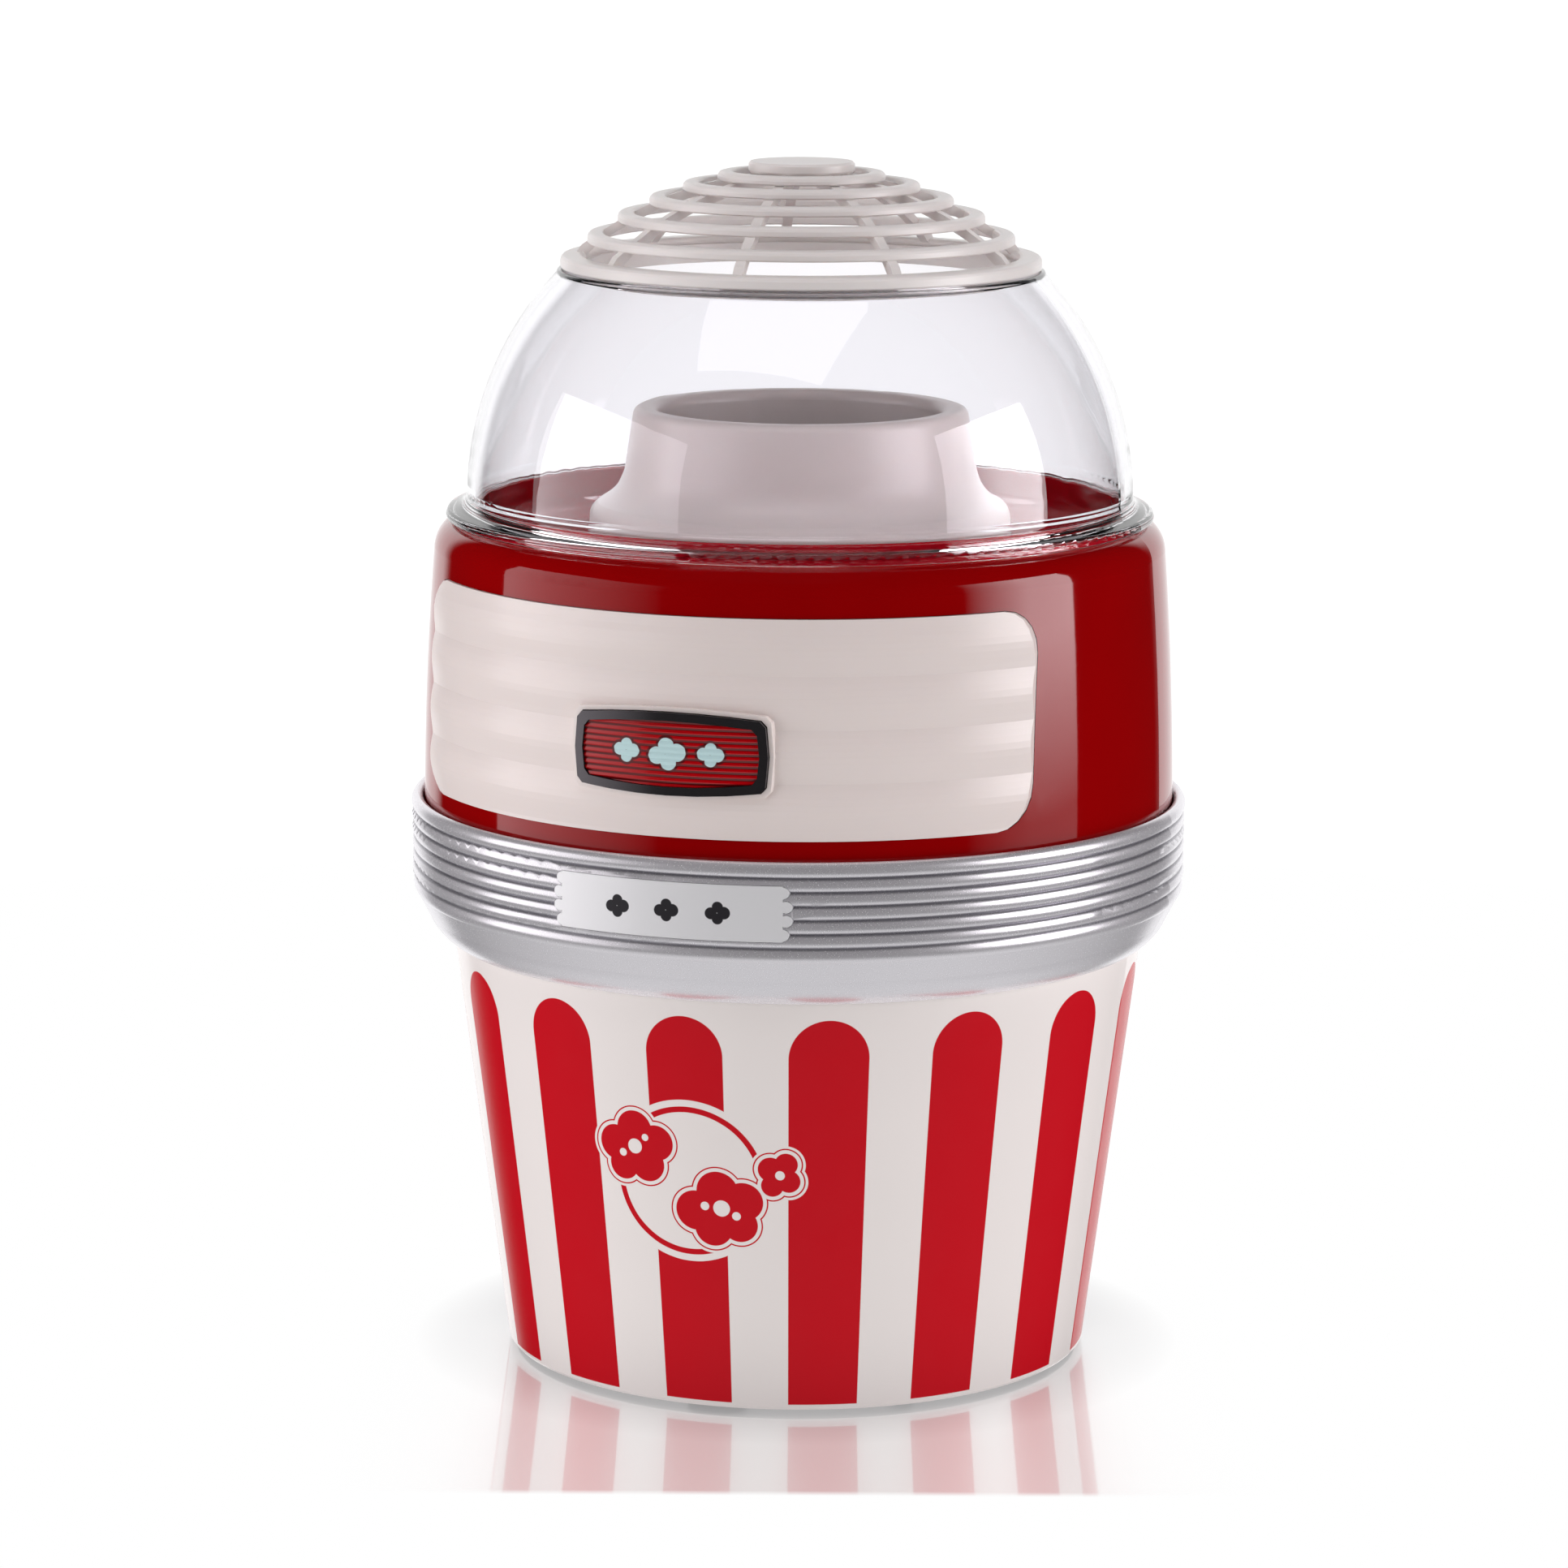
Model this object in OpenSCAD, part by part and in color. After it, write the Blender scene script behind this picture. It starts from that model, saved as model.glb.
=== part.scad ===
// Hot-air popcorn maker. Millimetres, +Z up, front towards -Y,
// origin on the table under the middle of the base.

/* [Cup base] */
// Radius of the cup at its lower rim
cup_bottom_r = 81; // [76:0.5:84]
// Radius that the cup's slope reaches at its upper rim
cup_top_r = 97.3; // [95.5:0.1:98.5]
// Height of the gap that the feet leave under the cup
cup_lift = 1.5; // [1:0.1:2.5]
// Height of the cup's upper rim
cup_top_z = 127.9; // [126.5:0.1:127.9]
// Wall of the cup
cup_wall = 2.4; // [2:0.1:2.8]

/* [Trim band] */
// Largest radius of the silver band
band_r = 107.6; // [107:0.1:109]
// Number of ribs round the band
band_ribs = 5; // [3:1:6]
// Height of one rib
rib_pitch = 3.75; // [3:0.05:3.75]
// Depth of the valleys between ribs
rib_depth = 0.8; // [0.4:0.1:1]
// Half of the angle that the nameplate covers
plate_half_angle = 16.7; // [8:0.1:22]

/* [Upper housing] */
// Radius of the housing where it meets the band
housing_r = 104.2; // [103.6:0.1:104.3]
// Radius of the rounded shoulder
shoulder_r = 8.8; // [7:0.1:9]
// Height of the ledge that the dome stands on
housing_top_z = 233.9; // [233.6:0.1:234]

/* [Front panel] */
// Half of the angle that the panel covers
panel_half_angle = 55.9; // [40:0.1:60]
// Lower edge of the panel
panel_low_z = 162.7; // [160:0.1:170]
// Upper edge of the panel
panel_high_z = 221; // [210:0.1:221]
// Corner radius of the panel
panel_corner = 12; // [6:0.5:16]
// Number of flutes across the panel
flutes = 4; // [2:1:6]
// How far each flute swells
flute_swell = 1.1; // [0.5:0.1:1.5]

/* [Badge] */
// Length of the badge round the panel
badge_arc = 54; // [40:0.5:60]
// Height of the badge at its middle
badge_h = 21.2; // [16:0.1:24]
// How much lower the badge is at its ends
badge_barrel = 1.45; // [0.5:0.05:2]

/* [Dome] */
// Radius of the arc that the dome follows
dome_arc_r = 89.25; // [89:0.05:89.5]
// Wall of the dome
dome_wall = 2.2; // [1.8:0.1:2.4]
// Radius of the mouth at the top
mouth_r = 60.5; // [60.4:0.05:60.8]

/* [Vent lid] */
// Outer radii of the lid's rings, from the flange inwards
ring_radii = [66.1, 58.7, 50.4, 41.75, 32.55, 23.05];
// Radius of the closed disc in the middle
disc_r = 14.6; // [12:0.1:16]
// Radius of the sphere that the lid follows
lid_sphere_r = 97; // [96:0.1:99]
// Height of the lid's crown
crown_z = 332; // [331:0.1:333]
// Number of radial ribs
lid_ribs = 9; // [6:1:12]

/* [Popping chamber] */
// Inner radius of the chamber
chamber_r = 37.6; // [36:0.1:37.8]
// Height of the chamber's floor
chamber_floor_z = 150; // [149:0.5:152]
// Number of slanted air slots round the chamber
louvres = 28; // [16:1:32]

/* [Fan] */
// Radius of the fan over its blades
fan_r = 46.5; // [40:0.5:47.5]
// Number of fan blades
fan_blades = 8; // [5:1:10]
// Pitch of the blades
blade_pitch = 32; // [20:1:38]

/* [Hidden] */
$fn = 96;

eps = 0.01;
fit_gap = 0.15;              // between pieces that sit in each other
sheet = 0.8;                 // aluminium of the chamber
deck_z = 224.5;              // top of the tray's floor
deck_wall = 2.4;
tray_r = 90.3;
tray_rim_z = 238.4;
tray_hole_r = 44;
wall_arc_r = 1000;           // radius of the housing's gentle curve
wall_c = [housing_r - 1000, 147];
shoulder_z = 226.4;          // where the curve runs into the shoulder
shoulder_angle = asin((shoulder_z - wall_c[1]) / wall_arc_r);
flange_z = 128;              // underside of the housing's lower flange
housing_wall = 2.4;
panel_pocket = 1.2;          // depth of the pocket that holds the panel
boss_angles = [45, 135, 225, 315];
cross_angles = [0, 90, 180, 270];
chute_angles = [30, 150, 270];
bracket_angles = [90, 210, 330];
body_boss_r = 86;
cover_boss_r = 66;
tray_boss_r = 80;
duct_boss_r = 61;
chute_boss_r = 54;
bracket_boss_r = 54;
duct_r = 49;
duct_sheet = 1.2;
band_top_z = 157.5;
rib_top_z = 153.3;
rib_low_z = rib_top_z - band_ribs * rib_pitch;
shaft_r = 1.6;
motor_top_z = 93.4;
motor_low_z = 58;
motor_r = 14.5;
switch_z = 10;               // in the rear plate's own frame
gland_z = -17;
rear_z = 38;
cup_slope = atan((cup_top_r - cup_bottom_r) / (cup_top_z - cup_lift));
rocker_tilt = 10;
rocker_pivot_y = 1.2;
lid_turn = 3;                // angle of the first lid rib from the front
lid_flange_z = 302.9;

function cup_r(z) = cup_bottom_r + (z - cup_lift) * tan(cup_slope);
// Radius of the housing's wall at a height: upright at the band, then easing inwards.
function housing_at(z, inset = 0) = wall_c[0] + sqrt(pow(wall_arc_r - inset, 2) - pow(z - wall_c[1], 2));
function shoulder_c() = wall_c + (wall_arc_r - shoulder_r) * [cos(shoulder_angle), sin(shoulder_angle)];
// Radius of the shoulder at a height.
function shoulder_at(z, inset = 0) =
    shoulder_c()[0] + sqrt(pow(shoulder_r - inset, 2) - pow(z - shoulder_c()[1], 2));
// Height of the lid's domed surface at a radius.
function sphere_z(r) = crown_z - lid_sphere_r + sqrt(lid_sphere_r * lid_sphere_r - r * r);

// ---------- shared shapes ----------

// A profile in radius and height, turned round the axis.
module turned(points) {
    rotate_extrude() polygon(points);
}

// Centre of an arc between two points; the radius is negative where the arc cuts into the profile.
function arc_centre(p, q, r) = let (d = q - p, n = [d[1], -d[0]] / norm(d))
    (p + q) / 2 - sign(r) * n * sqrt(max(0, r * r - d * d / 4));

// A turned profile listed anticlockwise. Each point is [radius, height], or [radius, height, r]
// where an arc of radius r leads to the next point, bulging outwards, or inwards if r is negative.
module turned_arcs(points) {
    count = len(points);
    arcs = [for (i = [0:count - 1]) if (len(points[i]) > 2) let (
        p = [points[i][0], points[i][1]],
        q = [points[(i + 1) % count][0], points[(i + 1) % count][1]]) [p, q, points[i][2]]];
    rotate_extrude() difference() {
        union() {
            polygon([for (p = points) [p[0], p[1]]]);
            for (a = arcs) if (a[2] > 0) arc_segment(a[0], a[1], a[2]);
        }
        for (a = arcs) if (a[2] < 0) arc_segment(a[0], a[1], a[2]);
    }
}

// The sliver between an arc and its chord, reaching a little past the chord.
module arc_segment(p, q, r) {
    d = q - p;
    n = [d[1], -d[0]] / norm(d) * sign(r);
    depth = 1.5 * (abs(r) - sqrt(max(0, r * r - d * d / 4)));
    intersection() {
        translate(arc_centre(p, q, r)) circle(r = abs(r), $fn = abs(r) > 50 ? 1440 : 96);
        polygon([p - 0.2 * n, q - 0.2 * n, q + depth * n, p + depth * n]);
    }
}

// A tube between two heights.
module tube(inner, outer, low, high) {
    turned([[inner, low], [outer, low], [outer, high], [inner, high]]);
}

// Children placed round the axis.
module around(angles, radius, z = 0) {
    for (a = angles) rotate([0, 0, a]) translate([radius, 0, z]) children();
}

// An upright fin that follows a radius, from a profile in radius and height.
module fin(angle, thick, points) {
    rotate([0, 0, angle]) rotate([90, 0, 0]) linear_extrude(thick, center = true) polygon(points);
}

// Pan-head screw pointing up: the head lies under z = 0, with a cross recess.
module screw(shank_r, length, head_r, head_h = 1.7) {
    difference() {
        union() {
            translate([0, 0, -head_h]) cylinder(r = head_r, h = head_h);
            translate([0, 0, -eps]) cylinder(r = shank_r, h = length + eps);
        }
        for (a = [0, 90]) rotate([0, 0, a])
            translate([0, 0, -head_h]) cube([head_r * 1.3, 0.7, 1.6], center = true);
    }
}

// The frame of the rear plate: Y points out of the cup's sloping wall, Z up along it.
module rear_frame() {
    translate([0, cup_r(rear_z), rear_z]) rotate([-cup_slope, 0, 0]) children();
}

// An upright block between two corners.
module block(low, high) {
    translate(low) cube(high - low);
}

// A round wire through points: straight legs with a ball at each bend.
module wire(points, r) {
    for (i = [0:len(points) - 2]) {
        leg = points[i + 1] - points[i];
        translate(points[i]) rotate([0, acos(leg[2] / norm(leg)), atan2(leg[1], leg[0])])
            cylinder(r = r, h = norm(leg), $fn = 24);
    }
    for (i = [1:len(points) - 2]) translate(points[i]) sphere(r * 1.04, $fn = 24);
}

// A smooth curve through hand-chosen points.
function spline(p, n = 2) = concat(
    [for (i = [0:len(p) - 2], k = [0:n - 1]) let (
        t = k / n,
        a = p[max(i - 1, 0)], b = p[i], c = p[i + 1], d = p[min(i + 2, len(p) - 1)])
        0.5 * (2 * b + (c - a) * t + (2 * a - 5 * b + 4 * c - d) * t * t
            + (3 * b - 3 * c + d - a) * t * t * t)],
    [p[len(p) - 1]]);

// ---------- base ----------

module base_cup() color("white") difference() {
    union() {
        turned([
            [cup_r(cup_lift) - cup_wall + 0.6, cup_lift], [cup_r(cup_lift) - 0.6, cup_lift],
            [cup_r(cup_lift + 0.8), cup_lift + 0.8], [cup_r(cup_top_z), cup_top_z],
            [cup_r(cup_top_z) - cup_wall, cup_top_z], [cup_r(cup_lift + 0.8) - cup_wall, cup_lift + 0.8]
        ]);
        around(boss_angles, cover_boss_r, 5.5) cylinder(r = 4.5, h = 26);
        for (a = boss_angles) {
            fin(a, 2.4, [[69, 5.5], [cup_r(5.5) - 1.2, 5.5], [cup_r(29) - 1.2, 29], [69, 29]]);
            fin(a, 13, [[80, 122], [cup_r(122) - 1.2, 122], [cup_r(125.5) - 1.2, 125.5], [80, 125.5]]);
        }
    }
    around(boss_angles, cover_boss_r, 5) cylinder(r = 1.5, h = 18);
    around(boss_angles, body_boss_r, 120) cylinder(r = 1.8, h = 8);
    rear_frame() block([-15 - fit_gap, -12, -28 - fit_gap], [15 + fit_gap, 6, 28 + fit_gap]);
}

module bottom_cover() color("gainsboro") difference() {
    translate([0, 0, 3]) cylinder(r = 78.4, h = 2.4);
    for (a = [0:30:359]) rotate([0, 0, a]) block([13, -1.5, 2], [25, 1.5, 7]);
    for (a = [0:15:359]) rotate([0, 0, a + 7.5]) block([28, -1.5, 2], [41, 1.5, 7]);
    around(cross_angles, cover_boss_r, 2) cylinder(r = 2.5, h = 5);
    around(boss_angles, cover_boss_r, 2) cylinder(r = 1.8, h = 5);
}

module rubber_feet() color("dimgray") around(cross_angles, cover_boss_r) {
    turned([[0, 0], [7.2, 0], [8, 0.8], [8, 2.95], [2.45, 2.95], [2.45, 5.5],
            [3.3, 5.6], [2.6, 7], [0, 7]]);
}

module cover_screws() color("silver") around(boss_angles, cover_boss_r, 2.95) screw(1.45, 16, 3);

module body_screws() color("silver") around(boss_angles, body_boss_r, 121.9) screw(1.45, 14, 3);

// ---------- trim band ----------

module trim_band() color("silver") {
    rib_arc = (pow(rib_pitch / 2, 2) + rib_depth * rib_depth) / (2 * rib_depth);
    valley = band_r - rib_depth;
    lip_z = rib_low_z - 0.3;
    difference() {
        turned_arcs(concat(
            [[104.5, 127.85], [102.2, 127.85], [102.2, 126], [101.2, 124], [99, 121.2],
             [cup_r(119.2) + 0.2, 119.2], [cup_r(117.6) + 0.25, 117.6]],
            [[97.3, 117.6, 14], [103.4, lip_z - 9.6], [106.4, lip_z - 3.8, 3], [valley, lip_z]],
            [for (i = [band_ribs - 1:-1:0]) [valley, rib_top_z - (i + 1) * rib_pitch, rib_arc]],
            [[valley, rib_top_z, 2.4], [106, band_top_z, 1.8], [104.5, band_top_z - 1.2]]
        ));
        plate_region(0.12) tube(106.3, band_r + 2, 120, 160);
    }
}

// Keeps what lies in the nameplate's outline, whose ends are scalloped to the ribs.
module plate_region(grow) {
    half = band_r * sin(plate_half_angle);
    high = rib_top_z - 0.5 * rib_pitch;
    intersection() {
        children();
        translate([0, -60, 0]) rotate([90, 0, 0]) linear_extrude(60) {
            translate([-half - grow, high - 4 * rib_pitch - grow])
                square([2 * (half + grow), 4 * rib_pitch + 2 * grow]);
            for (i = [0:3], s = [-1, 1])
                translate([s * (half + (i == 1 || i == 2 ? 0.8 : 0)), high - (i + 0.5) * rib_pitch])
                    circle(r = rib_pitch * 0.42 + grow, $fn = 32);
        }
    }
}

module nameplate() color("lightgray") plate_region(0) tube(106.45, band_r + 0.05, 120, 160);

// ---------- upper housing ----------

module upper_housing() color("darkred") difference() {
    union() {
        inner_top = housing_top_z - housing_wall;
        join = shoulder_z - housing_wall * sin(shoulder_angle);
        turned_arcs([
            [80, flange_z], [housing_at(150), flange_z], [housing_at(150), 150, wall_arc_r],
            [housing_at(shoulder_z), shoulder_z, shoulder_r],
            [shoulder_at(housing_top_z), housing_top_z], [tray_r + fit_gap, housing_top_z],
            [tray_r + fit_gap, inner_top],
            [shoulder_at(inner_top, housing_wall), inner_top, housing_wall - shoulder_r],
            [housing_at(join, housing_wall), join, housing_wall - wall_arc_r],
            [housing_at(150, housing_wall), 150],
            [housing_at(150, housing_wall), flange_z + housing_wall], [80, flange_z + housing_wall]
        ]);
        around(boss_angles, body_boss_r, 125.6) cylinder(r = 4.5, h = 17);
        tube(74, 100.6, 209.5, 211.9);
    }
    around(boss_angles, body_boss_r, 125) cylinder(r = 1.5, h = 13);
    around(boss_angles, tray_boss_r, 209) cylinder(r = 1.8, h = 4);
    panel_region(fit_gap) turned_arcs([
        [housing_at(155, panel_pocket), 155], [housing_r + 6, 155], [housing_r + 6, 226],
        [housing_at(226, panel_pocket), 226, -(wall_arc_r - panel_pocket)]
    ]);
}

// Keeps what lies in the panel's rounded outline, seen from the front.
module panel_region(grow) {
    half = housing_at(192) * sin(panel_half_angle) + grow;
    corner_x = panel_corner * cos(panel_half_angle);
    low = panel_low_z - grow;
    high = panel_high_z + grow;
    intersection() {
        children();
        translate([0, -30, 0]) rotate([90, 0, 0]) linear_extrude(100) polygon([
            for (q = [0:3], k = [0:5]) let (
                a = q * 90 + k * 18,
                cx = (q == 0 || q == 3 ? 1 : -1) * (half - corner_x),
                cz = q < 2 ? high - panel_corner : low + panel_corner)
            [cx + corner_x * cos(a), cz + panel_corner * sin(a)]
        ]);
    }
}

// How far a flute stands out at a share of its height, fullest above its middle.
function flute(t) = flute_swell * sin(180 * pow(t, 1.25));
flute_h = (panel_high_z - panel_low_z - 2) / flutes;
flute_steps = 8;             // straight steps that make up one flute
module front_panel() color("linen") difference() {
    union() {
        panel_region(0) turned(concat(
            [[housing_at(panel_low_z) - panel_pocket + 0.1, panel_low_z - 1]],
            [[housing_at(panel_low_z) + 0.5, panel_low_z - 1]],
            [for (i = [0:flutes - 1], k = [0:flute_steps - 1])
                let (t = k / flute_steps, z = panel_low_z + 1 + (i + t) * flute_h)
                [housing_at(z) + 0.5 + flute(t), z]],
            [[housing_at(panel_high_z) + 0.5, panel_high_z + 1]],
            [for (z = [panel_high_z + 1:-8.5:panel_low_z]) [housing_at(z) - panel_pocket + 0.1, z]]
        ));
        badge_region(0) tube(housing_r - 1.2, 106.2, 166, 200);
    }
    badge_region(1.2 - fit_gap) tube(104.55, 112, 160, 210);
}

badge_z = 185.3;
// Keeps what lies in a barrel-shaped outline about the badge; inset shrinks it.
module badge_region(inset) {
    half = badge_arc / 2 * 0.98 + 1.6 - inset;
    middle_h = badge_h / 2 + 1.6 - inset;
    end_h = middle_h - badge_barrel;
    intersection() {
        children();
        translate([0, -60, badge_z]) rotate([90, 0, 0]) linear_extrude(60) polygon(concat(
            [for (k = [-3:3]) [half * 0.92 * k / 3, middle_h - badge_barrel * pow(k / 3, 2)]],
            [[half * 0.975, end_h - 1.6], [half, 0], [half * 0.975, 1.6 - end_h]],
            [for (k = [3:-1:-3]) [half * 0.92 * k / 3, badge_barrel * pow(k / 3, 2) - middle_h]],
            [[-half * 0.975, 1.6 - end_h], [-half, 0], [-half * 0.975, end_h - 1.6]]
        ));
    }
}

module badge_frame() color("black") difference() {
    badge_region(1.2) tube(104.6, 107.2, 160, 210);
    badge_region(3.4) tube(105.6, 112, 160, 210);
}

module badge_insert() color("firebrick") badge_region(3.5) turned(concat(
    [[105.7, 170]],
    [for (i = [0:14], k = [0, 1]) [106.3 + 0.3 * k, 174.2 + (i + k / 2) * 1.6]],
    [[106.3, 200], [105.7, 200]]
));

// ---------- deck, chute and chamber ----------

module popcorn_tray() color("firebrick") difference() {
    union() {
        turned_arcs([
            [tray_hole_r, deck_z - deck_wall], [tray_r, deck_z - deck_wall],
            [tray_r, tray_rim_z - 0.8, 0.8],
            [tray_r - 0.8, tray_rim_z], [tray_r - 1.5, tray_rim_z, 0.5], [tray_r - 2, tray_rim_z - 0.5],
            [tray_r - 2, deck_z + 7, -7], [tray_r - 9, deck_z], [tray_hole_r, deck_z]
        ]);
        around(boss_angles, tray_boss_r, 212) cylinder(r = 4, h = 11);
        around(cross_angles, duct_boss_r, 213.1) cylinder(r = 3.5, h = 10);
    }
    around(boss_angles, tray_boss_r, 211) cylinder(r = 1.5, h = 10);
    around(cross_angles, duct_boss_r, 212) cylinder(r = 1.5, h = 9);
    around(chute_angles, chute_boss_r, 220) cylinder(r = 1.8, h = 6);
}

module tray_screws() color("silver") around(boss_angles, tray_boss_r, 209.4) screw(1.45, 10, 3);

module chute() color("linen") difference() {
    union() {
        turned_arcs([
            [56, deck_z + 0.1], [58.2, deck_z + 0.1], [58.2, 233.6, 5.6], [55.9, 238.3, -13],
            [48.3, 248.4], [46.2, 262.4, 2.4], [43.9, 264.6], [41.6, 264.6, 2.8], [38.8, 261.8],
            [38.8, 226.7], [40.9, 226.7], [40.9, 260.2, -1.5], [43.7, 260.6], [46.1, 248, 15.2],
            [54.2, 236.6, -3.4], [56, 233.6]
        ]);
        around(chute_angles, chute_boss_r, deck_z + 0.1) cylinder(r = 3.4, h = 10.4);
    }
    around(chute_angles, chute_boss_r, deck_z) cylinder(r = 1.5, h = 8);
}

module chute_screws() color("silver")
    around(chute_angles, chute_boss_r, deck_z - deck_wall - 0.1) screw(1.45, 8.5, 2.6, 1.5);

module chamber_seal() color("orangered") tube(41, 46.5, 225.5, 226.6);

module popping_chamber() color("lightgray") {
    f = chamber_floor_z;
    r = chamber_r;
    difference() {
        turned([
            [0, f + 2.2], [22, f - sheet], [r - 4.2, f - 0.2], [r + sheet, f + 4.7],
            [r + sheet, deck_z + 0.1], [47, deck_z + 0.1], [47, deck_z + 0.1 + sheet], [r, deck_z + 0.1 + sheet],
            [r, f + 5], [r - 4.6, f + 0.6], [22, f], [0, f + 3]
        ]);
        around([for (i = [0:louvres - 1]) i * 360 / louvres], r, f + 13)
            rotate([35, 0, 0]) cube([6, 1.6, 10], center = true);
    }
}

// ---------- air duct and heater ----------

module air_duct() color("silver") difference() {
    turned([
        [duct_r, 96], [58, 96], [58, 96 + duct_sheet], [duct_r + duct_sheet, 96 + duct_sheet],
        [duct_r + duct_sheet, 211.8], [66, 211.8], [66, 213], [duct_r + duct_sheet, 213],
        [duct_r + duct_sheet, 221.9], [duct_r, 221.9]
    ]);
    around(cross_angles, duct_boss_r, 210) cylinder(r = 1.8, h = 5);
    around(bracket_angles, bracket_boss_r, 95) cylinder(r = 1.5, h = 4);
    for (z = [122, 136]) rotate([0, 0, 110]) translate([45, 0, z]) rotate([0, 90, 0])
        cylinder(r = 3, h = 10);
}

module duct_screws() color("silver") around(cross_angles, duct_boss_r, 211.7) screw(1.45, 9, 3);

coil_rings = [for (r = [24, 34, 44], z = [118, 130, 142]) [r, z]];

mica_arms = [20:90:290];
module mica_former() color("tan") {
    tube(2.2, 4, 114.2, 147.5);
    difference() {
        for (a = mica_arms) rotate([0, 0, a]) block([3.5, -0.5, 114.6], [47.5, 0.5, 147]);
        for (c = coil_rings) around(mica_arms, c[0], c[1]) rotate([90, 0, 0])
            cylinder(r = 2.35, h = 4, center = true, $fn = 32);
    }
}

module heater_coil() color("gray")
    for (c = coil_rings) rotate_extrude() translate(c) circle(r = 2.1, $fn = 32);

module thermostat() color("dimgray") rotate([0, 0, 70]) translate([0, 0, 170]) {
    translate([duct_r + duct_sheet + 0.1, 0, 0]) rotate([0, 90, 0]) cylinder(r = 8, h = 7.5);
    for (y = [-4, 4]) block([57.5, y - 0.4, -2.4], [66, y + 0.4, 2.4]);
}

module thermal_fuse() color("lightgray") rotate([0, 0, 100]) translate([54, 0, 160]) {
    cylinder(r = 2, h = 11);
    translate([0, 0, -5]) cylinder(r = 0.6, h = 21);
    block([-3.6, -1, 4], [-1.9, 1, 7]);
}

// ---------- motor and fan ----------

module motor_bracket() color("silver") difference() {
    union() {
        tube(0, 18, 93.5, 95.9);
        tube(46.5, 58, 93.5, 95.9);
        for (a = bracket_angles) rotate([0, 0, a]) block([16, -6, 93.5], [48, 6, 95.9]);
    }
    translate([0, 0, 90]) cylinder(r = 5.15, h = 8);
    around([0, 180], 9, 92) cylinder(r = 1.4, h = 5);
    around(bracket_angles, bracket_boss_r, 92) cylinder(r = 1.6, h = 5);
}

module bracket_screws() color("silver") around(bracket_angles, bracket_boss_r, 93.4) screw(1.45, 7, 3);

module motor_can() color("lightgray") difference() {
    union() {
        translate([0, 0, motor_low_z]) cylinder(r = motor_r, h = motor_top_z - motor_low_z);
        translate([0, 0, motor_top_z - eps]) cylinder(r = 5, h = 3);
    }
    translate([0, 0, motor_low_z - 1]) cylinder(r = motor_r - 1.2, h = motor_top_z - motor_low_z - 0.2);
    translate([0, 0, 80]) cylinder(r = 3.05, h = 20);
    around([0, 180], 9, 90) cylinder(r = 1.25, h = 5);
}

module motor_end_cap() color("black") difference() {
    union() {
        translate([0, 0, 55.9]) cylinder(r = motor_r, h = 2);
        translate([0, 0, 55.9]) cylinder(r = 12.9, h = 5);
    }
    translate([0, 0, 57.9]) cylinder(r = 11.4, h = 5);
    translate([0, 0, 54]) cylinder(r = 3.05, h = 8);
    for (s = [-1, 1]) block([s * 8 - 1.2, -3, 54], [s * 8 + 1.2, 3, 60]);
}

module motor_screws() color("silver") around([0, 180], 9, 96) mirror([0, 0, 1]) screw(1.2, 4.5, 2.4, 1.5);

module motor_magnets() color("dimgray") for (a = [30, 210])
    rotate([0, 0, a]) rotate_extrude(angle = 120) polygon([[10.2, 66], [13.2, 66], [13.2, 88], [10.2, 88]]);

module motor_bushes() color("goldenrod") {
    tube(shaft_r + 0.03, 3, 93, 96.2);
    tube(shaft_r + 0.03, 3, 55.9, 58.6);
}

module motor_brushes() color("dimgray") for (s = [-1, 1])
    block([s * 8 - 1.1, -2.5, 50.2], [s * 8 + 1.1, 2.5, 59.6]);

module motor_shaft() color("silver") translate([0, 0, 54.5]) cylinder(r = shaft_r, h = 61);

module motor_armature() color("chocolate") difference() {
    translate([0, 0, 67]) cylinder(r = 9.6, h = 19);
    for (a = [0:120:359]) rotate([0, 0, a]) block([5, -1.2, 66], [11, 1.2, 87]);
    translate([0, 0, 66]) cylinder(r = shaft_r + 0.02, h = 22);
}

module motor_commutator() color("peru") tube(shaft_r + 0.02, 4, 60.5, 66.5);

module fan() color("black") difference() {
    union() {
        turned([[0, 98.6], [11, 98.6], [12, 99.6], [12, 108], [10.5, 109.6], [0, 109.6]]);
        intersection() {
            tube(11, fan_r, 97, 111);
            for (i = [0:fan_blades - 1]) rotate([0, 0, i * 360 / fan_blades]) translate([29, 0, 104])
                rotate([blade_pitch, 0, 0]) cube([42, 17, 1.3], center = true);
        }
    }
    translate([0, 0, 97]) cylinder(r = shaft_r + 0.02, h = 14);
}

module fan_nut() color("silver") difference() {
    translate([0, 0, 109.7]) cylinder(r = 3.4, h = 3, $fn = 6);
    translate([0, 0, 109]) cylinder(r = shaft_r + 0.02, h = 5);
}

// ---------- electrics ----------

module rectifier_board() color("darkgreen") difference() {
    translate([0, 0, 48.5]) cylinder(r = 16, h = 1.6);
    around([45, 135, 225, 315], 12, 47) cylinder(r = 0.6, h = 4);
}

module rectifier_diodes() color("black") for (y = [-9, -3, 3, 9])
    translate([-4.5, y, 46.2]) rotate([0, 90, 0]) cylinder(r = 2, h = 9);

module terminal_block() color("ivory") difference() {
    block([-36, 45, 5.5], [-8, 59, 20]);
    for (x = [-31.5, -22, -12.5]) {
        translate([x, 52, 12]) cylinder(r = 2.6, h = 9);
        translate([x, 40, 10.5]) rotate([-90, 0, 0]) cylinder(r = 2.4, h = 25);
    }
}

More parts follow.
